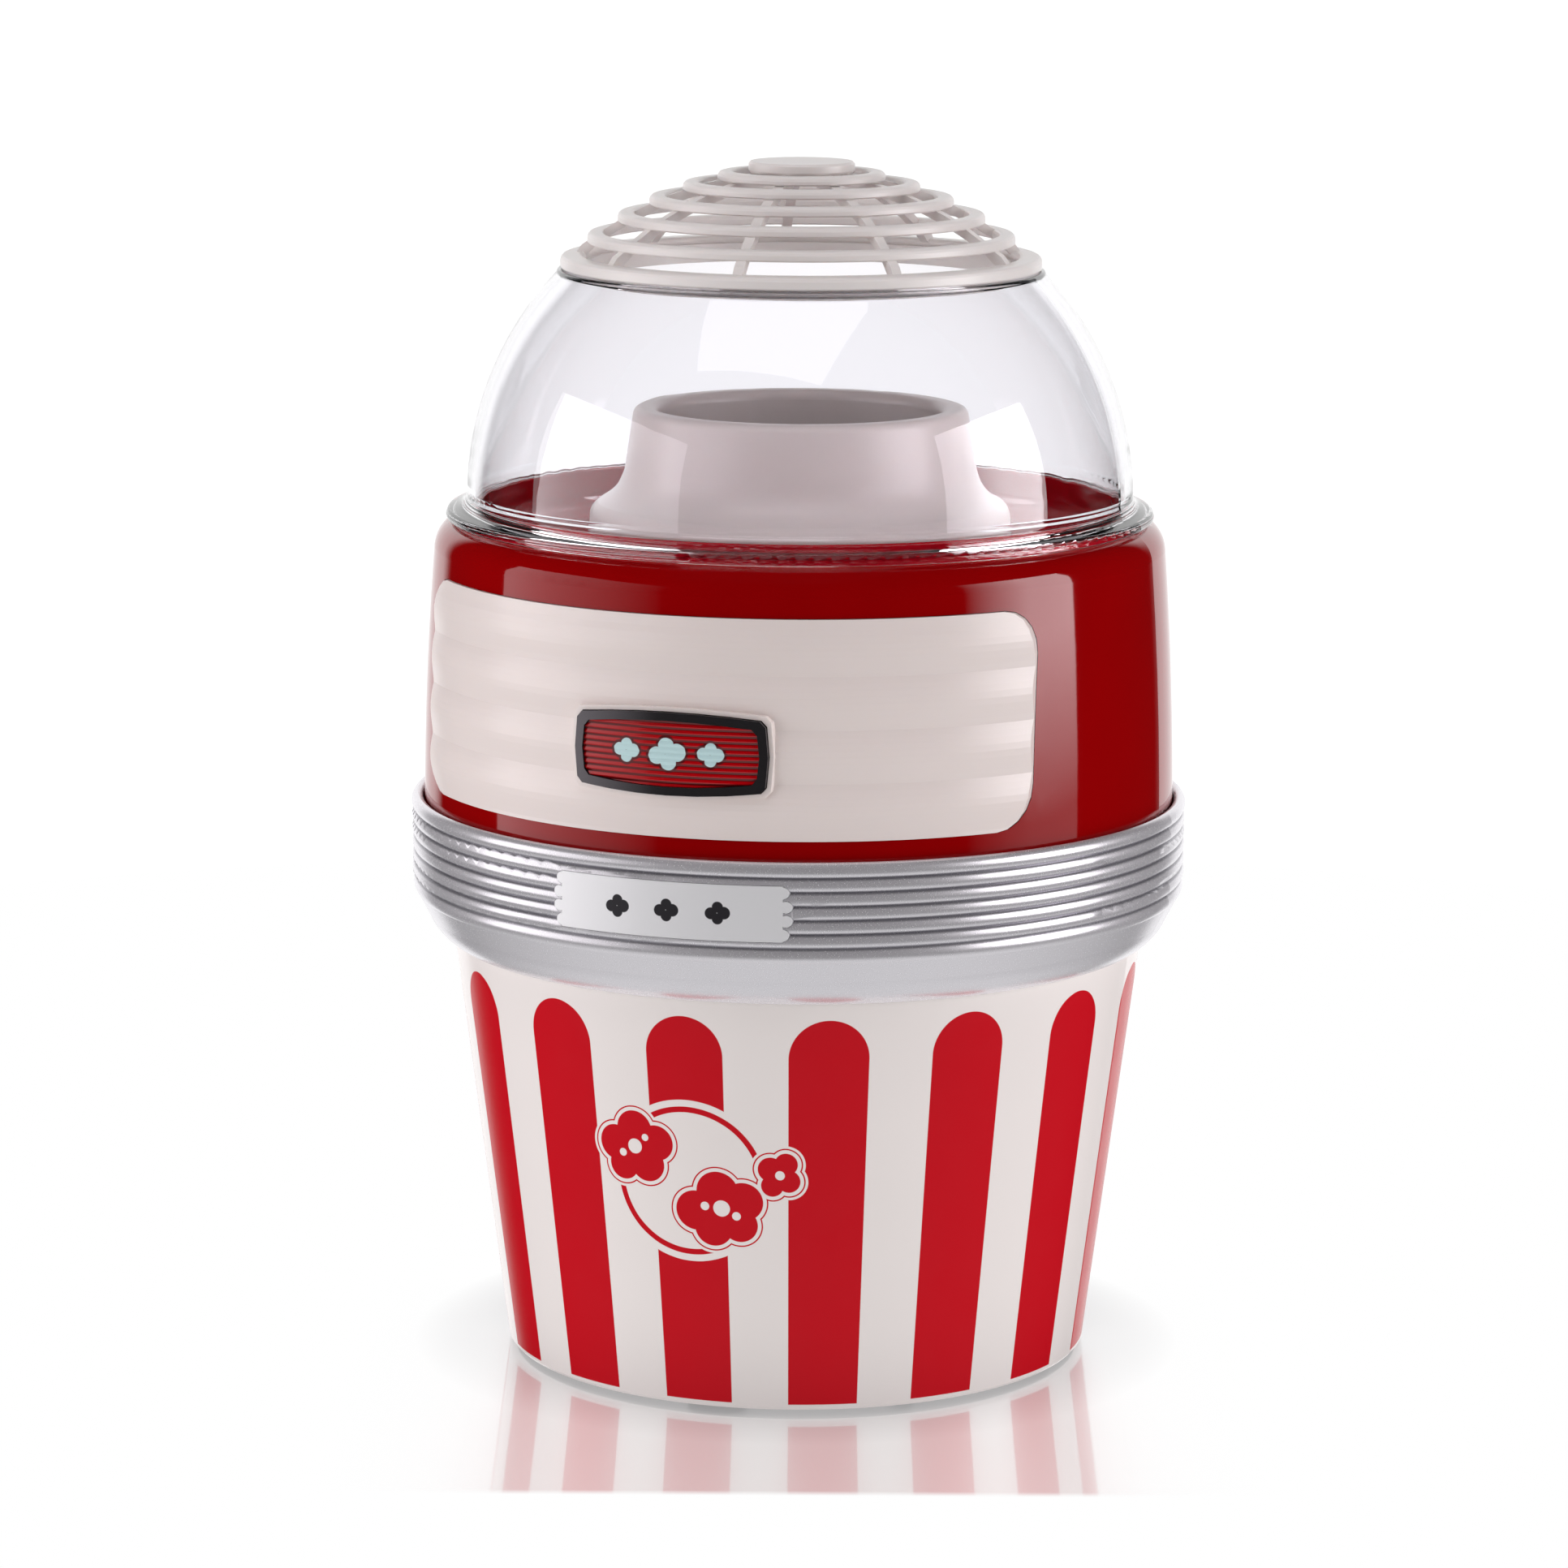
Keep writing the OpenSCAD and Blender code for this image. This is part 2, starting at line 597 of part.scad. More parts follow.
module rear_plate() color("white") rear_frame() difference() {
    block([-15, -7, -28], [15, 1.5, 28]);
    block([-13.4, -8, -26.4], [13.4, -0.7, 26.4]);
    block([-6.6, -4, switch_z - 9.7], [6.6, 4, switch_z + 9.7]);
    translate([0, -4, gland_z]) rotate([-90, 0, 0]) cylinder(r = 5, h = 8);
}

module switch_body() color("black") rear_frame() translate([0, 0, switch_z]) difference() {
    union() {
        block([-7.5, 1.55, -10.5], [7.5, 3, 10.5]);
        block([-6.5, -13, -9.6], [6.5, 1.6, 9.6]);
        for (z = [-6, 4]) block([-2.4, -20, z], [2.4, -12.9, z + 0.8]);
    }
    block([-5.4, -4.5, -8.9], [5.4, 4, 8.9]);
    translate([-6.6, rocker_pivot_y - 0.1, 0]) rotate([0, 90, 0]) cylinder(r = 1.45, h = 13.2, $fn = 32);
}

module switch_rocker() color("red") rear_frame() translate([0, rocker_pivot_y - 0.1, switch_z]) {
    rotate([rocker_tilt, 0, 0]) rotate([90, 0, 90]) linear_extrude(10.4, center = true)
        polygon([[4.4, 8], [3.4, 5], [2.7, 2.5], [2.4, 0], [2.7, -2.5], [3.4, -5], [4.4, -8],
                 [0, -8], [-3.4, -1.6], [-3.4, 1.6], [0, 8]]);
    translate([-6.2, 0, 0]) rotate([0, 90, 0]) cylinder(r = 1.4, h = 12.4, $fn = 32);
}

module cord_gland() color("dimgray") rear_frame() translate([0, 0, gland_z]) rotate([-90, 0, 0])
    turned([
        [3.6, -8], [6.2, -8], [6.2, -6], [4.9, -4.8], [4.9, 1.6],
        [7, 1.6], [7, 2.6], [6, 4], [3.6, 4]
    ]);

live_route = [[0, 62.5, 41.5], [-2, 59, 38], [-5, 56, 32], [-9, 53, 25], [-12, 52, 21.5], [-12.5, 52, 17]];
switched_route = [[1, 63.5, 51.5], [3, 60, 56], [8, 57, 70], [14, 58, 95], [18, 60, 125], [21, 61, 150],
                  [22, 61.5, 162], [21, 61, 166.5]];
heater_route = [[26, 60, 167], [27, 63, 160], [20, 66, 148], [2, 64, 141], [-12, 58, 138], [-17, 53, 136.5],
                [-17, 49, 136]];
neutral_route = [[-22, 52, 17], [-22.5, 52, 24], [-28, 53, 40], [-32, 55, 70], [-32, 56, 100],
                 [-27, 58, 116], [-20, 55, 121.5], [-17, 49, 122]];

module live_wire() color("brown") wire(spline(live_route), 1.1);
module switched_wire() color("brown") wire(spline(switched_route), 1.1);
module heater_wire() color("white") wire(spline(heater_route), 1.1);
module neutral_wire() color("blue") wire(spline(neutral_route), 1.1);

// ---------- dome and lid ----------

dome_c = [2.76, 239.83];     // centre of the dome's arc in radius and height
// Radius of the dome at a height.
function dome_at(z, inset = 0) = dome_c[0] + sqrt(pow(dome_arc_r - inset, 2) - pow(z - dome_c[1], 2));

module dome() color("lightblue", 0.4) turned_arcs([
    [tray_r + 0.4, housing_top_z + 0.3], [96.9, housing_top_z + 0.3, 1.1], [97.6, 235.9, 1.4],
    [96.4, 237.1], [94.9, 237.5, -4], [dome_at(242.4), 242.4, dome_arc_r],
    [dome_at(301.6), 301.6, 0.9], [66.2, 302.6], [mouth_r, 302.6], [mouth_r, 300.2],
    [dome_at(300.2, dome_wall), 300.2, dome_wall - dome_arc_r], [dome_at(241, dome_wall), 241],
    [tray_r + 0.4, tray_rim_z + 0.4]
]);

// A bar of the lid's grille, with its edges eased.
module lid_ring(outer, width, low, high) {
    inner = outer - width;
    turned([
        [inner + 0.4, low], [outer - 0.4, low], [outer, low + 0.4], [outer, high - 1.3],
        [outer - 0.25, high - 0.65], [outer - 0.75, high - 0.2], [outer - 1.5, high],
        [inner + 1.2, high], [inner + 0.6, high - 0.16], [inner + 0.2, high - 0.55],
        [inner, high - 1.2], [inner, low + 0.4]
    ]);
}
module vent_lid() color("linen") {
    lid_ring(ring_radii[0], 6.6, lid_flange_z, lid_flange_z + 3.6);
    tube(58, 60.1, 299.2, lid_flange_z + 1.5);
    for (i = [1:len(ring_radii) - 1]) let (top = sphere_z(ring_radii[i] - 0.6))
        lid_ring(ring_radii[i], 4.6, top - 3.1 + 0.12 * i, top);
    translate([0, 0, crown_z - 3]) cylinder(r1 = disc_r - 0.4, r2 = disc_r, h = 0.6);
    translate([0, 0, crown_z - 2.4 - eps]) cylinder(r = disc_r, h = 1.8 + eps);
    translate([0, 0, crown_z - 0.6 - eps]) cylinder(r1 = disc_r, r2 = disc_r - 0.6, h = 0.6 + eps);
    for (i = [0:lid_ribs - 1]) fin(lid_turn - 90 + i * 360 / lid_ribs, 2.7, concat(
        [[10, crown_z - 1.6]],
        [for (r = [14:6:56]) [r, sphere_z(r) - 2.7]],
        [[60.5, lid_flange_z + 5.6], [62.5, lid_flange_z + 3], [62.5, lid_flange_z + 2]],
        [[60, lid_flange_z + 2]],
        [for (r = [56:-6:14]) [r, sphere_z(r) - 5.5]],
        [[10, crown_z - 5.2]]
    ));
}

base_cup();
bottom_cover();
rubber_feet();
cover_screws();
body_screws();
trim_band();
nameplate();
upper_housing();
front_panel();
badge_frame();
badge_insert();
popcorn_tray();
tray_screws();
chute();
chute_screws();
chamber_seal();
popping_chamber();
air_duct();
duct_screws();
mica_former();
heater_coil();
thermostat();
thermal_fuse();
motor_bracket();
bracket_screws();
motor_can();
motor_end_cap();
motor_screws();
motor_magnets();
motor_bushes();
motor_brushes();
motor_shaft();
motor_armature();
motor_commutator();
fan();
fan_nut();
rectifier_board();
rectifier_diodes();
terminal_block();
rear_plate();
switch_body();
switch_rocker();
cord_gland();
live_wire();
switched_wire();
heater_wire();
neutral_wire();
dome();
vent_lid();
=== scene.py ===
# %% [markdown]
# # A hot-air popcorn maker
#
# The machine's body is already a set of finished solids: the cup, the ribbed band, the gloss
# housing, the clear dome and its grille. This lesson gives them their finishes, adds the fine
# decoration that a mould or a printer would add, and sets up a soft studio picture.

# %% Load the machine
import bpy
import math
from mathutils import Vector, Matrix

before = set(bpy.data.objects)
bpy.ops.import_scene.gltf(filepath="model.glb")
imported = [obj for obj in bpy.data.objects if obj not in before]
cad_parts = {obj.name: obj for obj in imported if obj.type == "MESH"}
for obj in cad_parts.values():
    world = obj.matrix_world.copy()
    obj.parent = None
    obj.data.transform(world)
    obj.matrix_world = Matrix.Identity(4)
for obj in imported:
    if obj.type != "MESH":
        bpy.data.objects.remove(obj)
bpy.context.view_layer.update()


# %% [markdown]
# ## Shader maths that reads like maths
#
# A pattern is a formula on the surface's position. Each Math node can be wired by hand, but a
# long formula is easier to read as an expression, so a small class wraps a socket and lets
# plus, minus, times and divide add the nodes.

# %% A socket that can be calculated with
class Value:
    def __init__(self, wiring, socket):
        self.wiring = wiring
        self.socket = socket

    def math(self, operation, *others, clamp=False):
        return self.wiring.maths(operation, self, *others, clamp=clamp)

    def __add__(self, other):
        return self.math("ADD", other)

    def __radd__(self, other):
        return self.math("ADD", other)

    def __sub__(self, other):
        return self.math("SUBTRACT", other)

    def __rsub__(self, other):
        return self.wiring.maths("SUBTRACT", other, self)

    def __mul__(self, other):
        return self.math("MULTIPLY", other)

    def __rmul__(self, other):
        return self.math("MULTIPLY", other)

    def __truediv__(self, other):
        return self.math("DIVIDE", other)

    def __rtruediv__(self, other):
        return self.wiring.maths("DIVIDE", other, self)

    def __neg__(self):
        return 0.0 - self

    def __abs__(self):
        return self.math("ABSOLUTE")


# %% [markdown]
# ## Adding nodes in one line
#
# Materials, lamps and the world all hold a node tree, so one class serves the three. `node`
# adds any node from its type, settings and socket values. `step` and `mix` are the two moves
# that printed patterns need: a soft edge at a threshold, and a blend of two colours by a mask.

# %% A node tree and its helpers
class Wiring:
    def __init__(self, tree):
        self.tree = tree

    def node(self, kind, settings=None, outlet=0, **inlets):
        """Add a node. Inlets are i0, i1 ... by number, or named with _ in place of a space."""
        made = self.tree.nodes.new(kind)
        for key, value in (settings or {}).items():
            setattr(made, key, value)
        for key, value in inlets.items():
            numbered = key[0] == "i" and key[1:].isdigit()
            socket = made.inputs[int(key[1:]) if numbered else key.replace("_", " ")]
            if isinstance(value, Value):
                self.tree.links.new(value.socket, socket)
            else:
                socket.default_value = value
        return Value(self, made.outputs[outlet]) if made.outputs else None

    def outlets(self, value, *names):
        """Several outputs of the node that a value came from."""
        return [Value(self, value.socket.node.outputs[name]) for name in names]

    def maths(self, operation, *values, clamp=False):
        inlets = {"i%d" % i: value for i, value in enumerate(values)}
        return self.node("ShaderNodeMath", {"operation": operation, "use_clamp": clamp}, **inlets)

    def spot(self):
        """The surface point, on the piece's own axes."""
        return self.node("ShaderNodeTexCoord", outlet="Object")

    def place(self, stretch=(1, 1, 1)):
        return self.node("ShaderNodeMapping", Vector=self.spot(), Scale=stretch)

    def xyz(self, point=None):
        split = self.node("ShaderNodeSeparateXYZ", Vector=point or self.spot())
        return self.outlets(split, "X", "Y", "Z")

    def noise(self, size, detail=3.0, stretch=(1, 1, 1)):
        return self.node("ShaderNodeTexNoise", Vector=self.place(stretch),
                         Scale=1 / size, Detail=detail)

    def step(self, value, edge, soft):
        return self.maths("ADD", (value - edge) / (2 * soft), 0.5, clamp=True)

    def mix(self, mask, low, high):
        low, high = [c if isinstance(c, Value) else (*c, 1) for c in (low, high)]
        return self.node("ShaderNodeMix", {"data_type": "RGBA"}, outlet=2,
                         i0=mask, i6=low, i7=high)


# %% [markdown]
# ## One finish at a time
#
# A finish is a material with its main shader. What stays the same all over the piece goes
# straight onto the shader, and only what varies gets nodes.

# %% A finish
class Finish(Wiring):
    def __init__(self, name, colour, roughness=0.4, **constants):
        self.material = bpy.data.materials.new(name)
        self.material.use_nodes = True
        super().__init__(self.material.node_tree)
        self.shader = self.tree.nodes["Principled BSDF"]
        self.shader.inputs["Base Color"].default_value = (*colour, 1)
        self.shader.inputs["Roughness"].default_value = roughness
        for key, value in constants.items():
            self.shader.inputs[key.replace("_", " ")].default_value = value
        self.material.diffuse_color = (*colour, 1)

    def to(self, socket, value):
        self.tree.links.new(value.socket, self.shader.inputs[socket])

    def bump(self, height, strength=0.3, distance=0.0002):
        self.to("Normal", self.node("ShaderNodeBump", Strength=strength,
                                    Distance=distance, Height=height))


def srgb(r, g, b):
    """A display colour from 0 to 255 as the linear light that a shader wants."""
    return tuple((v / 255 / 12.92) if v <= 10 else ((v / 255 + 0.055) / 1.055) ** 2.4
                 for v in (r, g, b))


def darker(colour, share):
    return tuple(c * share for c in colour)


# %% [markdown]
# ## The cup: white gloss plastic with printed stripes
#
# Real cups like this are moulded white and pad-printed. A print has no thickness to speak of,
# so it is drawn by the material, not as a body. Each of the fifteen stripes is one distance
# formula: the distance along the surface from the nearest stripe's middle, with the height
# above the shoulder added at right angles, which rounds the top.

# %% Printed stripes
STRIPES = 15
STRIPE_HALF = 0.1152       # half of a stripe's width, as a share of the cup's radius
STRIPE_FOOT_Z = 0.0031
STRIPE_SHOULDER_Z = 0.1017
PRINT_RED = srgb(196, 0, 22)
CUP_WHITE = srgb(236, 229, 226)


def round_the_axis(paint):
    """Angle from the front, radius and height of the surface point."""
    x, y, z = paint.xyz()
    angle = paint.maths("ARCTAN2", x, -y)
    radius = (x * x + y * y).math("SQRT")
    return angle, radius, z


def stripes(paint, angle, radius, z):
    pitch = 2 * math.pi / STRIPES
    turn = angle / pitch
    along = (turn - turn.math("ROUND")) * pitch * radius
    above = (z - STRIPE_SHOULDER_Z).math("MAXIMUM", 0.0)
    inside = radius * STRIPE_HALF - (along * along + above * above).math("SQRT")
    return paint.step(inside, 0.0, 0.00008) * paint.step(z, STRIPE_FOOT_Z, 0.0001)


print("the cup gets", STRIPES, "stripes")


# %% [markdown]
# ## Popped kernels
#
# Every printed motif on the machine is a cluster of popped kernels. A kernel is a union of a
# few circles, and the distance from that union is the smallest of the distances from them.
# Thin solids could carry the motif instead, but ink has no body and a formula stays sharp at
# any size.

# %% Distance from a cluster
def blobs(paint, point, circles):
    """Distance from a union of circles, each (across, up, radius) in millimetres."""
    near = None
    for across, up, size in circles:
        middle = (across / 1000, up / 1000, 0)
        gap = paint.node("ShaderNodeVectorMath", {"operation": "DISTANCE"}, outlet="Value",
                         i0=point, i1=middle) - size / 1000
        near = gap if near is None else near.math("MINIMUM", gap)
    return near


def flat_point(paint, angle, radius, up):
    """The surface point rolled out flat, in metres across and up."""
    return paint.node("ShaderNodeCombineXYZ", X=angle * radius, Y=up, Z=0.0)


KERNELS = [(-21.5, 8.6, 5.0), (-15.6, 13.0, 5.3), (-9.2, 9.8, 5.0),
           (-12.0, 3.6, 5.0), (-19.2, 2.8, 4.4),
           (1.6, -8.2, 5.6), (7.8, -2.6, 5.8), (14.8, -5.0, 5.4),
           (13.6, -11.6, 4.9), (6.4, -12.8, 5.2),
           (22.6, 4.4, 3.5), (26.8, 6.0, 3.1), (27.2, 1.2, 3.2), (22.8, -0.2, 3.0)]
KERNEL_EYES = [(-15.6, 8.2, 2.1), (-19.4, 6.0, 1.1), (-12.4, 11.0, 1.0),
               (8.8, -7.2, 2.3), (4.2, -6.8, 1.2), (12.8, -9.2, 1.2), (25.0, 2.8, 1.3)]
print("emblem of", len(KERNELS), "circles with", len(KERNEL_EYES), "eyes")

# %% [markdown]
# The emblem on the cup is a plain ring with kernels tumbling over it. Their borders come free:
# a border is only a range of the same distance, so a thin outline and a clear margin follow
# each kernel by themselves.

# %% Ring and kernels
EMBLEM_Z = 0.0662
RING_RADIUS, RING_HALF = 0.0202, 0.0008
FIELD_RADIUS = 0.0229
MARGIN = 0.0021
OUTLINE_OUT, OUTLINE_HALF = 0.0012, 0.0002
CRISP = 0.00006


def emblem(paint, angle, radius, z):
    across = angle * radius
    up = z - EMBLEM_Z
    point = flat_point(paint, angle, radius, up)
    from_middle = (across * across + up * up).math("SQRT")
    ring = paint.step(RING_HALF - abs(from_middle - RING_RADIUS), 0.0, CRISP)
    field = paint.step(FIELD_RADIUS - from_middle, 0.0, CRISP)
    kernel = blobs(paint, point, KERNELS)
    eyes = paint.step(-blobs(paint, point, KERNEL_EYES), 0.0, CRISP)
    ink = paint.step(-kernel, 0.0, CRISP) * (1 - eyes)
    margin = paint.step(MARGIN - kernel, 0.0, CRISP)
    outline = paint.step(OUTLINE_HALF - abs(kernel - OUTLINE_OUT), 0.0, 0.00005)
    return field, ring * (1 - margin), ink.math("MAXIMUM", outline), margin


# %% [markdown]
# ## The cup's own finish
#
# The stripes stop short of the emblem, as a printer would mask them. Ink is a little rougher
# than bare plastic and stands up a hair's breadth, so it also feeds the roughness and the bump.

# %% The printed cup
FRONT_HALF_ANGLE = 0.6     # the emblem's part of the cup, in radians


def cup_finish():
    paint = Finish("printed_cup", CUP_WHITE, 0.2, IOR=1.45, Specular_IOR_Level=0.32)
    angle, radius, z = round_the_axis(paint)
    field, ring, ink, margin = emblem(paint, angle, radius, z)
    front = paint.step(FRONT_HALF_ANGLE - abs(angle), 0.0, 0.05)
    cleared = field.math("MAXIMUM", margin) * front
    band = stripes(paint, angle, radius, z) * (1 - cleared)
    red = band.math("MAXIMUM", ring.math("MAXIMUM", ink) * front)
    white = paint.mix(paint.noise(0.05, detail=2), CUP_WHITE, srgb(231, 224, 221))
    paint.to("Base Color", paint.mix(red, white, PRINT_RED))
    wear = paint.noise(0.009, detail=5)
    paint.to("Roughness", 0.17 + wear * 0.06 + red * 0.05)
    grain = paint.noise(0.0009, detail=2)
    paint.bump(red * 0.9 + grain * 0.12, strength=0.25, distance=0.00003)
    return paint.material


# %% [markdown]
# ## Gloss and satin mouldings
#
# The housing and the tray are high-gloss red, so their finish is nearly a mirror with a faint
# orange peel. The fluted panel, the chute and the lid are satin cream: rougher, with a very
# fine grain and a little light carried under the surface.

# %% Gloss red and satin cream
def gloss_red(name, colour):
    paint = Finish(name, colour, 0.06, IOR=1.5)
    peel = paint.noise(0.006, detail=1)
    smudge = paint.noise(0.03, detail=4)
    paint.to("Roughness", 0.03 + smudge * 0.04)
    paint.to("Base Color", paint.mix(smudge, colour, darker(colour, 0.86)))
    paint.bump(peel, strength=0.05, distance=0.0001)
    return paint.material


def satin_cream(name, colour, roughness=0.3):
    paint = Finish(name, colour, roughness, Subsurface_Weight=0.08, Subsurface_Scale=0.002,
                   Subsurface_Radius=(1.0, 0.7, 0.5))
    cloud = paint.noise(0.04, detail=3)
    grain = paint.noise(0.0007, detail=2)
    paint.to("Base Color", paint.mix(cloud, colour, darker(colour, 0.93)))
    paint.to("Roughness", roughness - 0.04 + cloud * 0.09)
    paint.bump(grain, strength=0.12, distance=0.00004)
    return paint.material


# %% [markdown]
# ## Metals
#
# The band is plastic sprayed with silver: mostly metallic, with tiny flakes that scatter the
# light. The valleys between its ribs are painted darker, as painted shade in the creases. The
# frame of the badge is dark polished chrome.

# %% Silver paint and dark chrome
RIBS = 5
RIB_TOP_Z, RIB_PITCH = 0.1533, 0.00375
VALLEY_HALF = 0.13         # half of a valley's width, as a share of the pitch
VALLEY_SHADE_GREY = srgb(112, 110, 120)


def silver_paint(name, colour, roughness):
    paint = Finish(name, colour, roughness, Metallic=0.66)
    flakes = paint.node("ShaderNodeTexVoronoi", {"feature": "F1"},
                        Vector=paint.place(), Scale=4500.0)
    rib = (RIB_TOP_Z - paint.xyz()[2]) / RIB_PITCH
    # painted shade: the valleys between the ribs are mixed towards grey in the base colour
    valley_shade = paint.step(VALLEY_HALF - abs(rib - rib.math("ROUND")), 0.0, 0.07)
    valley_shade = valley_shade * paint.step(RIBS / 2 + 0.2 - abs(rib - RIBS / 2), 0.0, 0.05)
    silver = paint.mix(paint.noise(0.05, detail=2), colour, darker(colour, 0.94))
    paint.to("Base Color", paint.mix(valley_shade * 0.75, silver, VALLEY_SHADE_GREY))
    paint.to("Roughness", roughness + flakes * 0.04)
    paint.bump(flakes, strength=0.03, distance=0.00002)
    return paint.material


def dark_chrome():
    paint = Finish("dark_chrome", (0.16, 0.15, 0.16), 0.12, Metallic=0.9)
    haze = paint.noise(0.004, detail=5)
    paint.to("Roughness", 0.08 + haze * 0.1)
    return paint.material


# %% [markdown]
# ## Inner metals and plain mouldings
#
# Sheet steel inside is galvanised, which shows as large soft crystals. The same finish with
# smaller crystals serves screws and wire. Everything else inside is a plain moulding with a
# fine spark-eroded grain.

# %% Sheet metal and plain mouldings
def sheet_metal(name, colour, roughness=0.35, crystal=0.012):
    paint = Finish(name, colour, roughness, Metallic=1.0)
    spangle = paint.node("ShaderNodeTexVoronoi", {"feature": "F1"}, outlet="Color",
                         Vector=paint.place(), Scale=1 / crystal)
    shade = paint.node("ShaderNodeSeparateColor", Color=spangle)
    paint.to("Base Color", paint.mix(shade, colour, darker(colour, 0.75)))
    paint.to("Roughness", roughness + shade * 0.15)
    scratch = paint.noise(0.0016, detail=4, stretch=(1, 1, 0.1))
    paint.bump(scratch, strength=0.15, distance=0.00005)
    return paint.material


def plain_moulding(name, colour, roughness=0.5, grain_size=0.0006):
    paint = Finish(name, colour, roughness)
    grain = paint.noise(grain_size, detail=3)
    cloud = paint.noise(0.02, detail=3)
    paint.to("Base Color", paint.mix(cloud, colour, darker(colour, 0.8)))
    paint.to("Roughness", roughness - 0.05 + cloud * 0.12)
    paint.bump(grain, strength=0.2, distance=0.00006)
    return paint.material


# %% [markdown]
# ## The clear dome
#
# The dome is one thick moulding of clear plastic. It has real inner and outer walls, so a
# transmitting shader bends light at both, and its edges gather the faint violet of the plastic
# without any trick.

# %% Clear plastic
def clear_plastic():
    paint = Finish("clear_plastic", (0.966, 0.96, 0.985), 0.0, IOR=1.49, Transmission_Weight=1.0)
    return paint.material


# %% [markdown]
# ## The badge and the nameplate
#
# The badge insert is a ribbed red plate that carries a pale printed motif, and the nameplate is
# smooth satin silver with a small engraved one. Both motifs are popped kernels again.

# %% Ribbed insert
BADGE_Z = 0.1853
BADGE_RIB_PITCH = 0.0016
BADGE_MARK = [(-13.6, 0.4, 1.7), (-11.6, 1.8, 1.6), (-9.8, 0.2, 1.8), (-11.7, -1.4, 1.6),
              (-3.0, -0.6, 2.3), (-0.4, 2.0, 2.2), (2.6, 0.4, 2.4), (0.2, -2.2, 2.2),
              (9.8, 0.4, 1.7), (11.8, 1.8, 1.6), (13.6, 0.2, 1.8), (11.7, -1.4, 1.6)]


def badge_finish():
    paint = Finish("badge_insert", srgb(165, 0, 8), 0.15, Coat_Weight=1.0, Coat_Roughness=0.05)
    angle, radius, z = round_the_axis(paint)
    mark = blobs(paint, flat_point(paint, angle, radius, z - BADGE_Z), BADGE_MARK)
    lines = paint.step(abs((z * (1 / BADGE_RIB_PITCH)).math("FRACT") - 0.5), 0.28, 0.06)
    ground = paint.mix(lines, srgb(178, 0, 10), srgb(96, 0, 4))
    halo = paint.mix(paint.step(0.0007 - mark, 0.0, 0.0001), ground, srgb(90, 20, 24))
    printed = paint.mix(paint.step(-mark, 0.0, 0.00008), halo, srgb(196, 226, 228))
    paint.to("Base Color", printed)
    paint.bump(lines, strength=0.3, distance=0.0001)
    return paint.material


# %% Engraved plate
PLATE_Z = 0.1439
PLATE_KERNEL = [(-1.7, -0.2, 1.6), (0.1, 1.5, 1.5), (1.8, 0.0, 1.7), (0.1, -1.6, 1.5)]
PLATE_MARK = [(x + across, up, size) for x in (-14, 0, 14) for across, up, size in PLATE_KERNEL]
PLATE_SILVER = srgb(250, 250, 252)


def nameplate_finish():
    paint = Finish("satin_plate", PLATE_SILVER, 0.3, Metallic=0.35)
    angle, radius, z = round_the_axis(paint)
    mark = blobs(paint, flat_point(paint, angle, radius, z - PLATE_Z), PLATE_MARK)
    engraved = paint.step(-mark, 0.0, 0.00008)
    brushed = paint.noise(0.0012, detail=4, stretch=(0.15, 0.15, 2.5))
    paint.to("Base Color", paint.mix(engraved, PLATE_SILVER, srgb(52, 50, 54)))
    paint.to("Roughness", 0.26 + brushed * 0.1)
    paint.bump(1 - engraved + brushed * 0.08, strength=0.3, distance=0.00008)
    return paint.material


print("marks of", len(BADGE_MARK), "and", len(PLATE_MARK), "circles")


# %% [markdown]
# ## Putting the finishes on
#
# Each node of the machine already has a named material slot. One table says which finish goes
# on which node, and the node keeps its shape. Screws and other nodes that the table leaves out
# are zinc.

# %% Finishes that several nodes share
red = gloss_red("gloss_red", srgb(148, 0, 3))
tray_red = gloss_red("tray_red", srgb(176, 0, 22))
black = plain_moulding("black_moulding", (0.02, 0.02, 0.021))
zinc = sheet_metal("zinc_screws", (0.55, 0.56, 0.58), 0.3, 0.004)
galvanised = sheet_metal("galvanised_sheet", (0.52, 0.53, 0.55))
copper = sheet_metal("enamelled_copper", (0.62, 0.24, 0.09), 0.3, 0.002)
brown_wire = plain_moulding("wire_brown", (0.08, 0.03, 0.015), 0.35)

